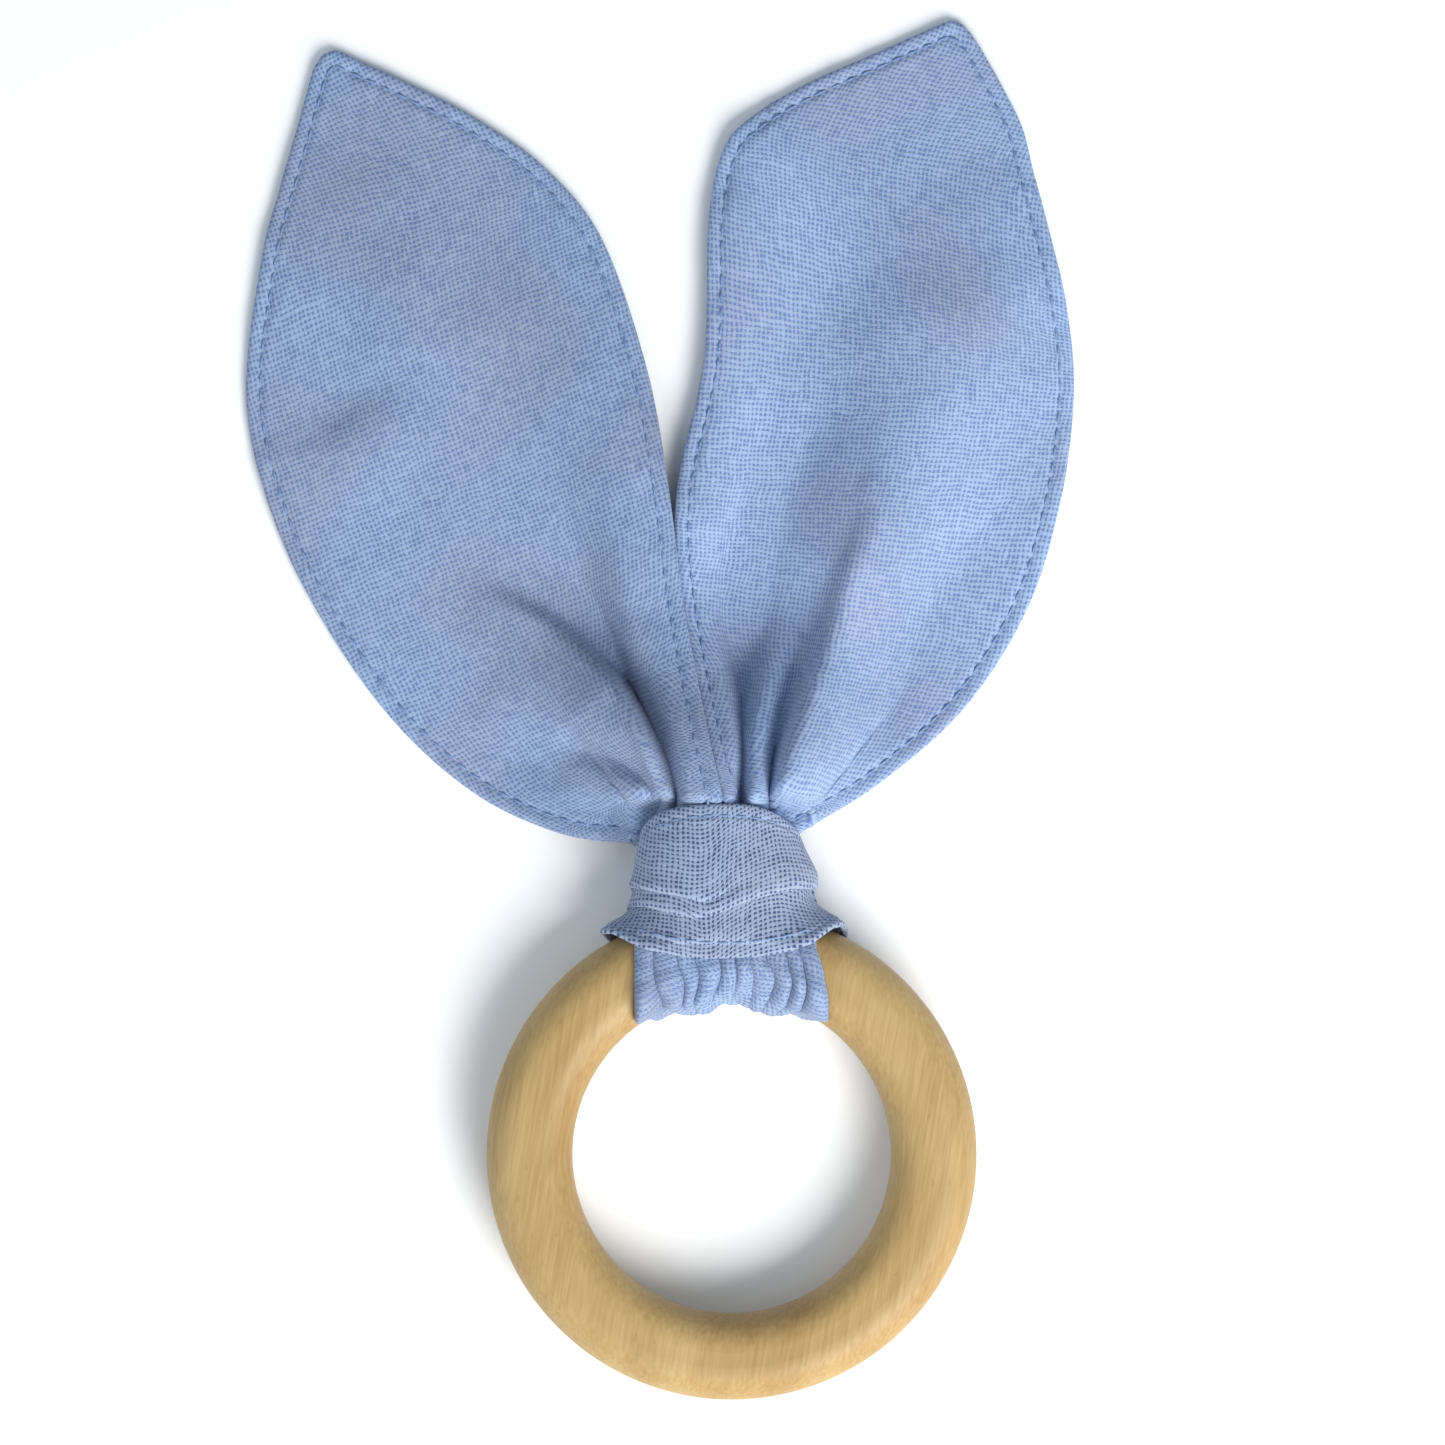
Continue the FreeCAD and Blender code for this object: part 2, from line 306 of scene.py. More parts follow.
def cotton_material(name, pitches, sky, lavender, gap):
    """Plain weave: uneven threads over and under each other, with small gaps between them. Each thread is
    painted darker where it dips under another, as painted shade, and the gaps are painted as the cloth beneath
    in shade.

    The pitches are how far apart the threads are, across the strip and along it.
    """
    material, tree, shader = new_material(name)
    flat = node(tree, "UVMap", uv_map="cloth").outputs["UV"]
    wander = node(tree, "TexNoise", {"Vector": flat, "Scale": 0.25, "Detail": 1.0}).outputs["Color"]
    wander = node(tree, "VectorMath", {0: wander, 1: (0.5, 0.5, 0.5)}, operation="SUBTRACT").outputs[0]
    wander = node(tree, "VectorMath", {0: wander, "Scale": 1.3 * pitches[0]}, operation="SCALE").outputs[0]
    place = node(tree, "VectorMath", {0: flat, 1: wander}, operation="ADD").outputs[0]
    split = node(tree, "SeparateXYZ", {0: place}).outputs
    steps = [calc(tree, "DIVIDE", split[axis], pitches[axis]) for axis in (0, 1)]
    cells = [calc(tree, "FLOOR", step) for step in steps]
    signs = [calc(tree, "COSINE", calc(tree, "MULTIPLY", cell, math.pi)) for cell in cells]
    heights, covers, tones = [], [], []
    for axis in (0, 1):
        other = 1 - axis
        in_cell = calc(tree, "SUBTRACT", calc(tree, "FRACT", steps[axis]), 0.5)
        off = calc(tree, "MULTIPLY", calc(tree, "ABSOLUTE", in_cell), 2.0)
        which = calc(tree, "MULTIPLY", cells[axis], 7.3)
        along = calc(tree, "MULTIPLY", steps[other], 0.3)
        spot = node(tree, "CombineXYZ", {0: which, 1: along, 2: 3.0 + axis}).outputs[0]
        slub = noise(tree, spot, 1.0, 1.0)
        width = calc(tree, "MULTIPLY_ADD", slub, 1.1, 0.13)
        cover = calc(tree, "DIVIDE", calc(tree, "SUBTRACT", width, off), 0.22)
        cover = node(tree, "Clamp", {0: cover}).outputs[0]
        swing = calc(tree, "SINE", calc(tree, "MULTIPLY", steps[other], math.pi))
        swing = calc(tree, "MULTIPLY", calc(tree, "MULTIPLY", swing, signs[axis]), (0.4, -0.4)[axis])
        round_off = calc(tree, "MULTIPLY", calc(tree, "MULTIPLY", off, off), 0.35)
        height = calc(tree, "SUBTRACT", calc(tree, "ADD", swing, 0.75), round_off)
        heights.append(calc(tree, "MULTIPLY", height, cover))
        covers.append(cover)
        tones.append(calc(tree, "MULTIPLY", calc(tree, "MULTIPLY_ADD", slub, 0.5, 0.75), cover))
    height = calc(tree, "MAXIMUM", *heights)
    cover = calc(tree, "MAXIMUM", *covers)
    hue = calc(tree, "MULTIPLY_ADD", noise(tree, flat, 0.03, 1.0), 2.2, -0.6)
    hue = node(tree, "Clamp", {0: hue}).outputs[0]
    thread = blend_colour(tree, hue, sky, lavender)
    tone = calc(tree, "MAXIMUM", *tones)
    # Painted shade: each thread is darker where it dips low under a crossing thread, times the thread's own
    # uneven tone.
    dip_shade_and_tone = calc(tree, "MULTIPLY", calc(tree, "MULTIPLY_ADD", height, 0.45, 0.55), tone)
    shade = node(tree, "CombineColor", {0: dip_shade_and_tone, 1: dip_shade_and_tone, 2: dip_shade_and_tone}).outputs[0]
    mix = {"Fac": 0.6, "Color1": thread, "Color2": shade}
    thread = node(tree, "MixRGB", mix, blend_type="MULTIPLY").outputs[0]
    # Painted shade: where no thread covers, the gap colour paints the cloth beneath in shade.
    colour = blend_colour(tree, cover, gap, thread)
    finish_shader(tree, shader, colour, height, 0.12, 0.5, 0.9)
    shader.inputs["Sheen Weight"].default_value = 0.15
    shader.inputs["Sheen Roughness"].default_value = 0.6
    shader.inputs["Specular IOR Level"].default_value = 0.15
    return material


def thread_material():
    """Plied sewing thread, painted darker in the grooves between its plies as painted shade."""
    material, tree, shader = new_material("sewing thread")
    place = node(tree, "TexCoord").outputs["Object"]
    twist = node(tree, "TexWave", {"Vector": place, "Scale": 900.0}, bands_direction="DIAGONAL")
    twist = twist.outputs["Fac"]
    # Painted shade: the thread is darker in the grooves between its plies, where the twist's relief is lowest.
    colour = blend_colour(tree, twist, linear(100, 126, 168), linear(124, 148, 186))
    finish_shader(tree, shader, colour, twist, 0.05, 0.4, 0.7)
    return material


def wood_material():
    """Pale sanded wood: fine streaks, a few pores, and darker patches."""
    material, tree, shader = new_material("maple")
    place = node(tree, "TexCoord").outputs["Object"]
    turned = node(tree, "Mapping", {"Vector": place, "Rotation": (0, 0.1, 0.16)}).outputs[0]
    streak_place = node(tree, "Mapping", {"Vector": turned, "Scale": (2200, 110, 2200)}).outputs[0]
    streaks = noise(tree, streak_place, 1.0, 4.0)
    figure_place = node(tree, "Mapping", {"Vector": turned, "Scale": (110, 28, 110)}).outputs[0]
    figure = noise(tree, figure_place, 1.0, 2.0)
    pore_place = node(tree, "Mapping", {"Vector": turned, "Scale": (1700, 420, 1700)}).outputs[0]
    pores = calc(tree, "LESS_THAN", noise(tree, pore_place, 1.0, 0.0), 0.2)
    pale, ochre, brown = linear(186, 159, 108), linear(154, 122, 72), linear(120, 86, 50)
    share = calc(tree, "ADD", calc(tree, "MULTIPLY", streaks, 0.45), calc(tree, "MULTIPLY", figure, 0.6))
    share = calc(tree, "MULTIPLY_ADD", share, 2.6, -0.9)
    colour = blend_colour(tree, node(tree, "Clamp", {0: share}).outputs[0], pale, ochre)
    colour = blend_colour(tree, calc(tree, "MULTIPLY", pores, 0.2), colour, brown)
    height = calc(tree, "SUBTRACT", streaks, pores)
    finish_shader(tree, shader, colour, height, 0.04, 0.35, 0.5)
    shader.inputs["Specular IOR Level"].default_value = 0.35
    return material


# ---------------------------------------------------------------- ears

# Each rib is (outer edge, inner edge) in plan, from inside the hitch to the tip. Each fold is (path from the
# hitch outwards, heights at its start, halfway and end, reach to the left at start and end, and to the right).
EARS = {
    "left": {
        "ribs": [
            ((-9.5, 40), (-1.3, 40)),
            ((-12.2, 43.6), (-1.3, 45)),
            ((-14.5, 44.4), (-1.2, 50.5)),
            ((-24, 45.6), (-2.6, 57)),
            ((-36, 50.8), (-4.4, 65.5)),
            ((-47.5, 60.6), (-6.9, 79)),
            ((-57.6, 74.2), (-9.0, 95)),
            ((-65.6, 90), (-12.2, 112.6)),
            ((-69.9, 108), (-18.5, 131)),
            ((-67.8, 128), (-26.5, 141.3)),
            ((-65.0, 139), (-36.8, 148.7)),
            ((-62.7, 147), (-47.0, 154.0)),
            ((-60.9, 153.6), (-53.4, 156.9)),
            ((-60.1, 156.1), (-55.9, 158.1)),
            ((-58.8, 158.0), (-57.2, 158.6)),
        ],
        "folds": [
            (
                [
                    (-8.6, 43), (-9.0, 50.7), (-10.2, 55), (-12.6, 60),
                    (-16.5, 66.3), (-21.1, 71.3), (-28.1, 77.1), (-38, 81),
                ],
                (2.4, 6.2, 0.0), (3.0, 34.0), (1.0, 3.6),
            ),
            (
                [
                    (-7.4, 43), (-8.0, 50), (-9.5, 54.6), (-11.8, 60.8),
                    (-14.8, 67), (-19.4, 72.5), (-26, 77.9), (-36, 83),
                ],
                (-4.0, -6.6, 0.0), (1.0, 3.0), (1.5, 10.0),
            ),
            (
                [
                    (-6.2, 43), (-7.1, 49.9), (-8.9, 54.6), (-10.6, 60),
                    (-12.4, 67), (-14, 77.9), (-16, 90), (-19, 104),
                ],
                (1.6, 5.6, 0.0), (1.0, 10.0), (30.0, 30.0),
            ),
            (
                [(-8, 74), (-11, 88), (-15, 104), (-21, 119), (-30, 134)],
                (0.0, 4.4, 0.0), (12.0, 26.0), (9.0, 9.0),
            ),
            (
                [(-10.4, 43), (-10.9, 51), (-13.4, 54.8), (-18, 57.4), (-25, 59)],
                (-3.2, -2.6, 0.0), (1.2, 4.0), (1.6, 6.0),
            ),
            (
                [(-13.2, 44), (-14.4, 49.5), (-18, 52.2), (-25, 54)],
                (1.6, 2.4, 0.0), (2.0, 5.0), (3.0, 6.0),
            ),
            (
                [(-70, 98), (-60, 100), (-49, 104), (-40, 108)],
                (0.8, 2.0, 0.2), (6.0, 8.0), (12.0, 16.0),
            ),
            (
                [(-43, 97), (-46, 116), (-49, 134)],
                (0.6, 2.2, 0.6), (16.0, 16.0), (14.0, 14.0),
            ),
        ],
    },
    "right": {
        "ribs": [
            ((6.8, 40), (-0.9, 40)),
            ((8.4, 43.8), (-0.9, 45)),
            ((10.2, 46.2), (-1.3, 50.5)),
            ((21, 52.8), (-3.3, 58)),
            ((33.3, 63.5), (-5.8, 69.5)),
            ((42.5, 77.8), (-8.0, 84)),
            ((47.5, 94), (-7.8, 96)),
            ((49.3, 109), (-4.0, 114)),
            ((48.3, 121), (-3.3, 134)),
            ((45.6, 133), (-1.2, 144.2)),
            ((43.5, 141), (3.0, 149.0)),
            ((41.9, 147.4), (10.5, 153.6)),
            ((38.9, 153.5), (19.5, 157.6)),
            ((36.6, 157.6), (26.5, 160.7)),
            ((34.9, 160.4), (29.6, 162.1)),
            ((33.4, 162.2), (31.7, 162.9)),
        ],
        "folds": [
            (
                [
                    (7.4, 43), (7.2, 50), (9.6, 58.5), (12.6, 68.5), (15.9, 79.5),
                    (20, 90), (25, 100), (31, 111), (36, 122),
                ],
                (2.2, 8.0, 2.0), (2.0, 24.0), (8.0, 22.0),
            ),
            (
                [(5.2, 42), (5.3, 50), (6.6, 58), (9.4, 66.5), (12, 74.5), (14.4, 83), (18, 93)],
                (-4.8, -4.6, -0.8), (1.5, 9.0), (1.3, 3.6),
            ),
            (
                [(1.3, 42), (1.3, 51.5), (1.7, 57.7), (1.3, 64.7), (0.3, 71.7), (0.0, 82), (1, 96)],
                (-3.6, -3.4, 0.0), (1.2, 4.0), (1.4, 9.0),
            ),
            (
                [(3.4, 42), (3.5, 51), (3.5, 57.7), (4.5, 64.7), (6.8, 70.9), (10.2, 76.4)],
                (2.0, 3.0, 0.0), (1.4, 4.0), (1.4, 4.0),
            ),
            (
                [
                    (-1.0, 42), (-1.2, 50), (-3.2, 60), (-5.4, 72),
                    (-6.6, 86), (-2.8, 106), (0, 122), (4, 142),
                ],
                (0.6, 3.4, 1.6), (6.0, 12.0), (3.0, 14.0),
            ),
            (
                [(8, 112), (22, 117), (36, 120), (48, 120)],
                (0.2, 1.8, 0.4), (10.0, 14.0), (16.0, 22.0),
            ),
        ],
    },
}
MOUTH = [(-8.5, 47.5), (5.5, 47.5)]  # the line where the ears leave the band
MOUTH_Y = 49.7  # the bunch widens beyond this
MOUTH_HALF_W = 12.4
MOUTH_WIDENS = 0.8  # for each millimetre outwards
MOUTH_Z = -0.6  # the bunch's sides, and its middle's height over them
MOUTH_RISE = 7.0
DESCENT = 31  # how far from it they come down to the surface
STITCHED_FROM_Y = 45.5  # nearer the ring the band hides the ears' stitches
EAR_ROWS = 210
EAR_COLUMNS = 111
CROWDING = 0.72  # how much closer the columns are near the edges


def neck_size(y):
    """The oval of the band round the bunched strip: its middle, half its width and half its height."""
    middle = np.interp(y, [36, 40, 44.5, 50], [-1.3, -0.8, -1.45, -1.8])
    half_width = np.interp(y, [33, 36, 40, 44.5, 47, 50], [12.0, 12.5, 12.1, 10.9, 10.0, 8.9])
    half_height = np.interp(y, [33, 41, 47, 50], [7.3, 7.4, 7.1, 6.7])
    return middle, half_width, half_height


def mouth_z(x, y):
    """Height of the cloth as it leaves the band, which holds it in a rounded bunch that widens outwards."""
    half_width = MOUTH_HALF_W + MOUTH_WIDENS * np.maximum(y - MOUTH_Y, 0)
    q = np.clip((x - BAND_X) / half_width, -1, 1)
    return MOUTH_Z + MOUTH_RISE * np.sqrt(1 - q * q)


def ear_height(xy, folds):
    """Height of the middle of an ear's cloth: down from the band to the surface, with its folds."""
    x, y = xy[..., 0], xy[..., 1]
    away, _ = to_line(xy, MOUTH)
    near = 1 - smooth((np.abs(away) - 1.5) / DESCENT)
    z = LIE_Z + (mouth_z(x, y) - LIE_Z) * near
    for path, heights, (left, left_end), (right, right_end) in folds:
        off, share = to_line(xy, spline(path, 40))
        reach = np.where(off > 0, left + (left_end - left) * share, right + (right_end - right) * share)
        z += np.interp(share, [0, 0.5, 1], heights) * (1 - smooth(np.abs(off) / reach))
    z += 0.5 * waves(xy, 26, 3) + 0.14 * waves(xy, 7, 5)
    over = z - LIE_Z
    z = LIE_Z + (over + np.sqrt(over**2 + LYING_SOFT**2) - LYING_SOFT) / 2
    middle, half_width, half_height = neck_size(y)
    inside = np.sqrt(1 - np.clip((x - middle) / (half_width - 0.8), -0.995, 0.995) ** 2)
    ceiling = NECK_Z + (half_height - 1.3) * inside + 9 * smooth((y - 49.4) / 5)
    return np.minimum(z, ceiling)


def hem_thickness(edge):
    """Thickness of an ear this far from its edge: rounded, thick over the hem and pinched by the stitches."""
    rounded = np.sqrt(1 - np.clip(1 - edge / 0.8, 0, 1) ** 2)
    over_turning = HEM_T + (EAR_T - HEM_T) * smooth((edge - 6) / 5)
    pinch = STITCH_DIP * np.exp(-(((edge - HEM) / 0.55) ** 2))
    return np.maximum(rounded * over_turning - pinch, THINNEST)


def stitch_line(outline, turn):
    """Places along an ear's topstitching. turn is 1 where the cloth is to the outline's left, else -1."""
    line = evenly(outline, 0.5)
    direction = np.gradient(line, axis=0)
    direction /= np.linalg.norm(direction, axis=1, keepdims=True)
    line = line + HEM * turn * np.stack([-direction[:, 1], direction[:, 0]], axis=1)
    clear, _ = to_line(line, outline)
    return evenly(line[(np.abs(clear) > HEM - 0.15) & (line[:, 1] > STITCHED_FROM_Y)], EAR_STITCH[0])


def make_ear(side, cotton, thread):
    """One ear: its cloth, and the stitches on its front and back."""
    outer, inner = (spline([rib[k] for rib in EARS[side]["ribs"]], EAR_ROWS) for k in (0, 1))
    t = np.linspace(0, 1, EAR_COLUMNS)
    t = t - CROWDING * np.sin(2 * math.pi * t) / (2 * math.pi)
    xy = outer[:, None] + (inner - outer)[:, None] * t[None, :, None]
    outline = np.concatenate([outer, inner[::-1]])
    edge, _ = to_line(xy, outline)
    edge = np.abs(edge)
    z = ear_height(xy, EARS[side]["folds"])
    puckers = 0.12 * waves(xy, 2.6, 11) * np.exp(-(((edge - HEM) / 2.2) ** 2))
    grid = np.concatenate([xy, (z + puckers)[..., None]], axis=-1)
    if side == "right":
        grid = grid[:, ::-1]
        edge = edge[:, ::-1]
    cloth = sheet(f"{side}_ear_cloth", grid, hem_thickness(edge), cotton)
    line = stitch_line(outline, 1 if side == "right" else -1)
    rows = []
    for face in ("front", "back"):
        places, ups = drop(cloth, line, face == "back")
        rows.append(stitching(f"{side}_ear_{face}_stitches", places, ups, *EAR_STITCH[1:], thread))
    for piece in [cloth] + rows:
        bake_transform(piece)
    cad = [f"{side}_{stretch}" for stretch in ("ear", "root")]
    layers = ["front_cloth", "back_cloth", "front_allowance", "back_allowance", "seam"]
    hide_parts(*[f"{place}_{name}" for place in cad for name in layers])
    for face, row in zip(("front", "back"), rows):
        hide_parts(*[f"{place}_{face}_topstitch" for place in cad])
    return cloth


# ---------------------------------------------------------------- hitch


def rim_distance(p):
    """Distance from the wood."""
    ring = np.abs(np.hypot(p[..., 0], p[..., 1]) - RIM_R) - (RIM_HALF_W - RING_ROUND)
    thick = np.abs(p[..., 2]) - (RIM_HALF_T - RING_ROUND)
    outside = np.hypot(np.maximum(ring, 0), np.maximum(thick, 0))
    return outside + np.minimum(np.maximum(ring, thick), 0) - RING_ROUND


def neck_distance(p):
    """Distance from the middle of the band where it goes round the bunched strip, beyond the ring."""
    y = p[..., 1]
    middle, half_width, half_height = neck_size(y)
    r = np.hypot((p[..., 0] - middle) / half_width, (p[..., 2] - NECK_Z) / half_height)
    around = (r - 1) * half_height
    return np.maximum(around, 31.5 - y)


def body_distance(p):
    """Distance from the middle of the band: on the wood behind, over the tails in front and on the neck."""
    over_tails = smooth((p[..., 2] + 3) / 5) * (1 - smooth((np.abs(p[..., 0] - BAND_X) - 15.5) / 4))
    ring = rim_distance(p) - BEHIND_WOOD - (BAND_OVER_WOOD - BEHIND_WOOD) * over_tails
    neck = neck_distance(p)
    both = np.maximum(BAND_SOFT - np.abs(ring - neck), 0) / BAND_SOFT
    return np.minimum(ring, neck) - both * both * BAND_SOFT / 4


def slope(field, p):
    """Which way a distance grows, and how fast."""
    step = 0.05
    return np.stack([field(p + d) - field(p - d) for d in np.eye(3) * step], axis=-1) / (2 * step)


def press(grid, field, steps=12):
    """Moves a grid's points onto the surface where a distance is nothing."""
    for _ in range(steps):
        uphill = slope(field, grid)
        size = np.maximum((uphill**2).sum(axis=-1, keepdims=True), 0.2)
        grid = grid - np.clip(field(grid)[..., None] * uphill / size, -1.5, 1.5)
    return grid


# The band, from the hole up behind the ring, round the left side, across the front and back round. Each
# station is (top hem, lower hem, where its two folds lie as shares of the way up, how deep each fold is).
BAND_STATIONS = [
    ((-0.5, 22.4, -3.6), (-7.6, 21.3, -4.2), (0.35, 0.5), (0.0, 0.0)),
    ((-0.8, 25, -6.6), (-13, 23.0, -6.6), (0.35, 0.5), (0.0, 0.0)),
    ((-2, 32, -7.0), (-15.8, 28, -6.6), (0.35, 0.5), (0.0, 0.0)),
    ((-5, 37.5, -7.0), (-17.8, 30.8, -4.5), (0.35, 0.5), (0.0, 0.0)),
    ((-9.5, 41.5, -5.5), (-18.9, 31.9, -1), (0.35, 0.5), (0.2, 0.2)),
    ((-12.8, 44, -2.5), (-18.6, 31.6, 1.6), (0.36, 0.52), (0.3, 0.3)),
    ((-13.1, 46, 1), (-15.6, 30.6, 5.0), (0.37, 0.52), (0.7, 0.7)),
    ((-11.3, 48.4, 4.6), (-12, 29.5, 7.2), (0.354, 0.48), (1.0, 1.0)),
    ((-7, 49.8, 7.0), (-7, 28.6, 7.8), (0.302, 0.434), (1.0, 0.9)),
    ((-3.2, 50.2, 7.8), (-3.2, 28.3, 8.0), (0.312, 0.39), (1.15, 0.5)),
    ((0.9, 50.2, 7.9), (0.9, 28.4, 8.0), (0.394, 0.49), (1.35, 0.0)),
    ((4.5, 49.7, 7.2), (5.5, 28.8, 7.8), (0.455, 0.57), (1.4, 0.0)),
    ((7.8, 48.4, 5.2), (10.7, 30.1, 7.3), (0.48, 0.6), (1.3, 0.0)),
    ((9.4, 46.4, 2), (14.2, 32, 4.6), (0.46, 0.58), (1.1, 0.0)),
    ((10.2, 44.5, -1.5), (16.9, 33.1, 0.8), (0.44, 0.55), (0.6, 0.0)),
    ((8.5, 41.5, -5), (17.3, 32.6, -1.8), (0.35, 0.5), (0.2, 0.0)),
    ((5, 37.5, -7.0), (16.5, 30.8, -4.8), (0.35, 0.5), (0.0, 0.0)),
    ((2, 32, -7.0), (14.6, 28, -6.6), (0.35, 0.5), (0.0, 0.0)),
    ((0.6, 25, -6.6), (12.5, 23.0, -6.6), (0.35, 0.5), (0.0, 0.0)),
    ((0.2, 22.4, -3.6), (7.6, 21.3, -4.2), (0.35, 0.5), (0.0, 0.0)),
]
# A fold's section, as (distance up the band, height): the cloth goes under, comes back and turns over a lip.
FOLD_UNDER = [(0.15, 0.0), (0.45, 0.02), (0.62, 0.12), (0.55, 0.3), (0.2, 0.38), (-0.2, 0.42)]
FOLD_LIP = [(-0.5, 0.55), (-0.58, 0.78), (-0.42, 0.98), (-0.05, 1.08), (0.3, 1.1), (0.65, 1.08)]
FOLD = FOLD_UNDER + FOLD_LIP
LEAST_STEP = 0.05  # between rows where a fold has run out
BAND_COLUMNS = 290
BAND_WIDTH = 22.0


def band_rows():
    """The band's rows, from its lower hem to its top.

    Each is (the hem or fold that it starts from, its share of the way to the next, its distance up the band
    from there, its height in the first fold, its height in the second).
    """
    rows = [(0, f, 0, 0, 0) for f in np.linspace(0, 0.985, 34) ** 0.9]
    rows += [(1, 0, up, high, 0) for up, high in FOLD]
    rows += [(1, f, 0, 1.06 - 0.12 * f, 0) for f in (0.55, 0.7, 0.85, 0.95)]
    rows += [(2, 0, up, 0.94, high) for up, high in FOLD]
    rows += [(2, f, 0, 0.94 - 0.5 * f, 1.06 - 0.6 * f) for f in np.linspace(0.1, 1, 44)]
    return np.array(rows)


def make_band(cotton):
    """The band and both legs, wrapped on the ring and the bunched strip, with two folds and two hems."""
    top, low = (spline([s[i] for s in BAND_STATIONS], BAND_COLUMNS) for i in (0, 1))
    shares, depths = (spline([s[i] for s in BAND_STATIONS], BAND_COLUMNS) for i in (2, 3))
    anchors = np.stack([np.zeros(BAND_COLUMNS), shares[:, 0], shares[:, 1], np.ones(BAND_COLUMNS)], axis=1)
    start, share, up, first, second = band_rows().T
    start = start.astype(int)
    depth = np.clip(np.where(start == 1, depths[:, :1], depths[:, 1:]), 0, 2)
    order = np.arange(len(start)) - np.searchsorted(start, start)
    spread = LEAST_STEP * order * (share == 0) * (1 - np.clip(depth, 0, 1))
    t = anchors[:, start] + (anchors[:, start + 1] - anchors[:, start]) * share
    t = t + (up * depth + spread) / BAND_WIDTH
    grid = press(low[:, None] + (top - low)[:, None] * np.clip(t, 0, 1)[..., None], body_distance)
    out = slope(body_distance, grid)
    out /= np.linalg.norm(out, axis=-1, keepdims=True)
    relief = first * depths[:, :1] + second * depths[:, 1:]
    gathered = smooth((27 - grid[..., 1]) / 8) * smooth(-grid[..., 2] / 4)
    gathers = np.abs(np.sin(9.5 * math.pi * t + 0.4)) * gathered
    relief = relief + 0.55 * gathers + 0.12 * waves(grid[..., :2], 9, 21)
    grid = grid + out * relief[..., None]
    edge = np.minimum(t, 1 - t) * BAND_WIDTH
    rounded = np.sqrt(1 - np.clip(1 - edge / 0.5, 0, 1) ** 2)
    hems = 0.35 * (1 - smooth((edge - 2.2) / 1.0)) - 0.42 * np.exp(-(((edge - 2.0) / 0.4) ** 2))
    thickness = np.maximum(rounded * (BAND_T + hems), THINNEST)
    facing = (normals(grid) * out).sum(axis=-1).mean()
    if facing < 0:
        grid, thickness = grid[:, ::-1], thickness[:, ::-1]
    return sheet("band_cloth", grid, thickness, cotton)


# Across the tails: where the grooves between their pleats are, and how far the cloth bunches up in the hole.
GROOVES = [-14.1, -11.1, -7.8, -5.2, -2.1, 0.6, 3.3, 5.4, 8.0, 11.0, 14.1]
BUNCH_X = [0, 2, 4, 8, 10, 12]
BUNCH = [0.4, 0.45, 1.3, 1.3, 0.5, 0.0]
TAILS_OVER_WOOD = 0.35  # middle of their cloth, in the grooves
TAILS_LOW_Y = 19.6  # in plan, the corners of the tails reach down to here
TAILS_X = 13.6
TAILS_TURN = (262, 52)  # degrees round the rim's section, from behind it to inside the band
TAILS_ROWS = 150
TAILS_COLUMNS = 261


def round_rim(turn, over):
    """Round the rim's section: the radius in plan and the height of a place this far over the wood."""
    c, s = np.cos(turn), np.sin(turn)
    flat_x = np.sign(c) * np.abs(c) ** 0.3 * (RIM_HALF_W - RING_ROUND)
    flat_z = np.sign(s) * np.abs(s) ** 0.3 * (RIM_HALF_T - RING_ROUND)
    return RIM_R + flat_x + c * (RING_ROUND + over), flat_z + s * (RING_ROUND + over)


def pleats(across, grooves):
    """Height of rounded pleats between grooves."""
    height = np.zeros_like(across)
    for start, end in zip(grooves[:-1], grooves[1:]):
        middle, half = (start + end) / 2, (end - start) / 2
        inside = np.clip(1 - ((across - middle) / half) ** 2, 0, 1)
        height += np.sqrt(inside) * min(1.35 * half, 2.1)
    return height


def make_tails(cotton):
    """Both tails, gathered, from behind the rim through the hole and over its front to inside the band."""
    share = np.linspace(-1, 1, TAILS_COLUMNS)[None, :]
    degrees = np.linspace(*TAILS_TURN, TAILS_ROWS)[:, None]
    turn = np.radians(degrees)
    in_hole = smooth((degrees - 125) / 30)
    behind = smooth((degrees - 195) / 25)
    under_band = 1 - smooth((degrees - 84) / 20)
    across = share * GROOVES[-1] + 0 * turn
    place = np.stack([across, degrees / 9 + 0 * across], axis=-1)
    wandering = across + 0.8 * waves(place, 6.0, 33) * (1 - share**4)
    rise = pleats(wandering, GROOVES) * (0.85 + 0.3 * waves(place, 5.0, 35))
    rise *= (1 - 0.75 * in_hole) * (1 - 0.35 * under_band)
    bunch = np.interp(np.abs(across), BUNCH_X, BUNCH) * in_hole
    over = TAILS_OVER_WOOD + (rise + bunch) * (1 - 0.85 * behind) + 0.1 * waves(place, 3.0, 31)
    narrowest = np.sqrt(round_rim(turn, TAILS_OVER_WOOD)[0] ** 2 - TAILS_LOW_Y**2)
    aside = 0.9 * (1 - smooth((degrees - 60) / 50))
    x = share * np.minimum(TAILS_X - aside, narrowest) - aside
    radius, z = round_rim(turn, over)
    grid = np.stack([x, np.sqrt(radius**2 - x**2), z], axis=-1)
    if normals(grid)[TAILS_ROWS // 2, TAILS_COLUMNS // 2, 1] > 0:
        grid = grid[:, ::-1]
    return sheet("tails_cloth", grid, np.full(grid.shape[:2], TAILS_T), cotton)


CORE_Y = (33.5, 51.0)  # where the bunched strip starts and ends
CORE_INSIDE = (1.6, 1.9)  # how far it stays inside the band, across and up
CORE_PLEATS = 18
CORE_ROWS = 40
CORE_COLUMNS = 220


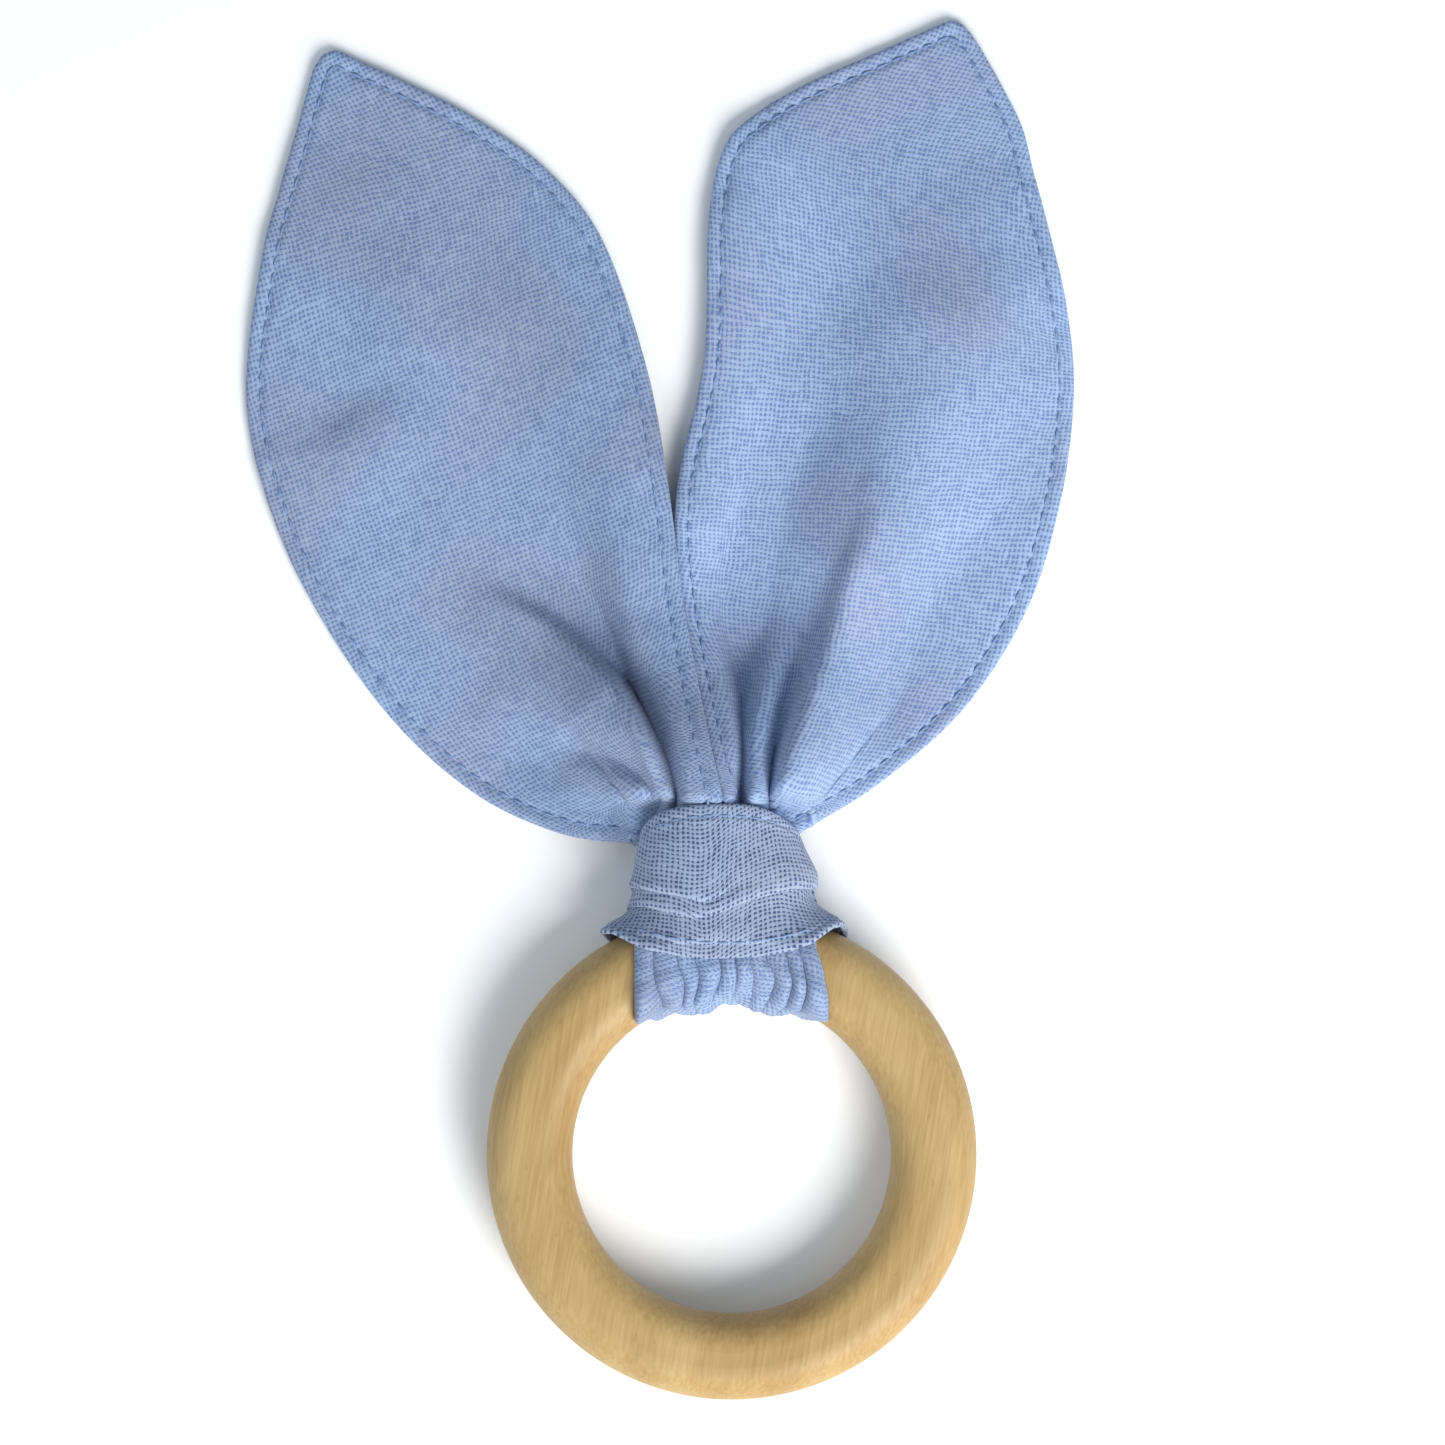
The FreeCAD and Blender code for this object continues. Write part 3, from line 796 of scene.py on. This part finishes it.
def make_core(cotton):
    """The strip bunched inside the band, whose pleats show at both ends of it."""
    around, along = CORE_COLUMNS, CORE_ROWS
    angle = np.linspace(0, 2 * math.pi, around, endpoint=False)[None, :]
    share = np.linspace(0, 1, along)[:, None]
    y = CORE_Y[0] + (CORE_Y[1] - CORE_Y[0]) * share
    middle, width, height = neck_size(y)
    width, height = width - CORE_INSIDE[0], height - CORE_INSIDE[1]
    closed = np.sqrt(np.clip(1 - np.clip((share - 0.9) / 0.1, 0, 1) ** 2, 0, 1)) * 0.98 + 0.02
    pleat = 1 + 0.07 * np.abs(np.sin(CORE_PLEATS / 2 * angle + 1.5 * np.sin(2 * angle)))
    x = middle + width * closed * pleat * np.cos(angle)
    z = NECK_Z + height * closed * pleat * np.sin(angle)
    points = np.stack([x, y + 0 * x, z], axis=-1).reshape(-1, 3)
    faces = []
    for r in range(along - 1):
        for k in range(around):
            a, b = r * around + k, r * around + (k + 1) % around
            faces.append([a, b, b + around, a + around])
    shape = (along, around)
    flat = np.stack([np.broadcast_to(angle * 9, shape), np.broadcast_to(y, shape)], axis=-1)
    return make_object("bunched_cloth", points, np.array(faces)[:, ::-1], cotton, flat.reshape(-1, 2))


# The band's stitching, in plan: an arc along its lower hem, and a curve along its top
LOW_STITCHES_X = (-13.5, 13.2)
LOW_STITCHES_Y = 28.4 + 2.2  # the hem, and the stitches from it
LOW_STITCHES_R = 41.7
TOP_STITCHES = [(-10.8, 46.9), (-7, 48.2), (-0.9, 48.6), (4.5, 48.0), (7.2, 47.0)]


def both_faces(*stretches):
    """The CAD's front and back cloth of these stretches of the strip."""
    return [f"{stretch}_{face}_cloth" for stretch in stretches for face in ("front", "back")]


def low_stitch_line():
    """The band's lower row of stitches, along an arc."""
    x = np.linspace(*LOW_STITCHES_X, 200)
    y = LOW_STITCHES_Y + LOW_STITCHES_R - np.sqrt(LOW_STITCHES_R**2 - (x - BAND_X) ** 2)
    return np.stack([x, y], axis=1)


def make_hitch(cotton, band_cotton, thread):
    """The hitch: the band with its two rows of stitches, the gathered tails and the bunched strip."""
    band = make_band(band_cotton)
    tails = make_tails(cotton)
    core = make_core(cotton)
    cloths = {
        band: both_faces("band_lower", "band_upper", "left_leg", "right_leg"),
        tails: both_faces("left_tail", "right_tail"),
        core: ["left_tail_bunched", "right_tail_bunched"],
    }
    for place, curve in (("lower", low_stitch_line()), ("upper", spline(TOP_STITCHES, 100))):
        places, ups = drop(band, evenly(curve, BAND_STITCH[0]))
        row = stitching(f"band_{place}_stitches", places, ups, *BAND_STITCH[1:], thread)
        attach(row, "hitch")
        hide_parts(f"band_{place}_topstitch")
    for cloth, nodes in cloths.items():
        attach(cloth, "hitch")
        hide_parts(*nodes)


# ---------------------------------------------------------------- studio

FRAME_WIDTH = 0.2065  # metres of the floor, across the picture
FRAME_MIDDLE = (-0.0013, 0.0617)
LAMP_AWAY = 0.75
FLOOR_HALF = 1200.0
FLOOR_GAP = 0.05  # between the floor and the part


def add_lamp(name, towards, energy, size):
    """A soft square lamp that shines on the middle of the object from this direction."""
    data = bpy.data.lights.new(name, "AREA")
    data.energy = energy
    data.size = size
    data.color = (1.0, 0.98, 0.95)
    lamp = bpy.data.objects.new(name, data)
    direction = Vector(towards).normalized()
    lamp.location = Vector((0, 0.06, 0)) + direction * LAMP_AWAY
    lamp.rotation_mode = "QUATERNION"
    lamp.rotation_quaternion = direction.to_track_quat("Z", "Y")
    bpy.context.collection.objects.link(lamp)


def make_studio():
    """A pale floor and soft light, most of it from beyond the ring and to its right."""
    scene = bpy.context.scene
    corners = FLOOR_HALF * np.array([(-1, -1), (1, -1), (1, 1), (-1, 1)])
    points = np.concatenate([corners, np.full((4, 1), REST_Z - FLOOR_GAP)], axis=1)
    material, tree, shader = new_material("floor")
    shader.inputs["Base Color"].default_value = (0.96, 0.96, 0.96, 1)
    shader.inputs["Roughness"].default_value = 0.9
    floor = make_object("floor", points, np.array([[0, 1, 2, 3]]), material)

    world = bpy.data.worlds.new("studio")
    scene.world = world
    world.use_nodes = True
    background = world.node_tree.nodes["Background"]
    background.inputs["Color"].default_value = (0.72, 0.86, 1.0, 1)
    background.inputs["Strength"].default_value = 0.44

    add_lamp("key", (0.44, -0.62, 0.62), 8.6, 0.5)
    add_lamp("fill", (-0.75, -0.35, 0.56), 1.4, 0.6)
    scene.view_settings.view_transform = "Standard"


def make_camera():
    """Straight down from above, with a long lens."""
    data = bpy.data.cameras.new("camera")
    data.lens = 135
    data.sensor_width = 36
    camera = bpy.data.objects.new("camera", data)
    camera.location = (*FRAME_MIDDLE, FRAME_WIDTH * data.lens / data.sensor_width)
    data.clip_start, data.clip_end = 0.05, 5
    bpy.context.collection.objects.link(camera)
    bpy.context.scene.camera = camera


# Each cotton's colours are where its thread is bluest, where it is greyest, and in the gaps between threads,
# where the cloth beneath is painted in shade.
cotton_colours = [linear(140, 166, 200), linear(141, 147, 170), linear(98, 120, 168)]
# Painted light: the right ear is the same cotton as the left, painted paler where more light falls on it.
right_ear_lit_colours = [linear(150, 178, 214), linear(146, 155, 181), linear(104, 128, 180)]
band_colours = [linear(146, 168, 198), linear(147, 152, 172), linear(56, 78, 122)]
cotton = cotton_material("cotton", (0.66, 0.70), *cotton_colours)
# Painted light: the right ear's cotton, the same cloth painted paler than the left's.
right_ear_lit_cotton = cotton_material("cotton with painted light", (0.66, 0.70), *right_ear_lit_colours)
band_cotton = cotton_material("band cotton", (0.64, 0.74), *band_colours)
thread = thread_material()

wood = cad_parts["wooden_ring"]
wood.data.materials.clear()
wood.data.materials.append(wood_material())

make_hitch(cotton, band_cotton, thread)
make_ear("left", cotton, thread)
# The right ear gets the cotton painted paler, as painted light.
make_ear("right", right_ear_lit_cotton, thread)
make_studio()
make_camera()
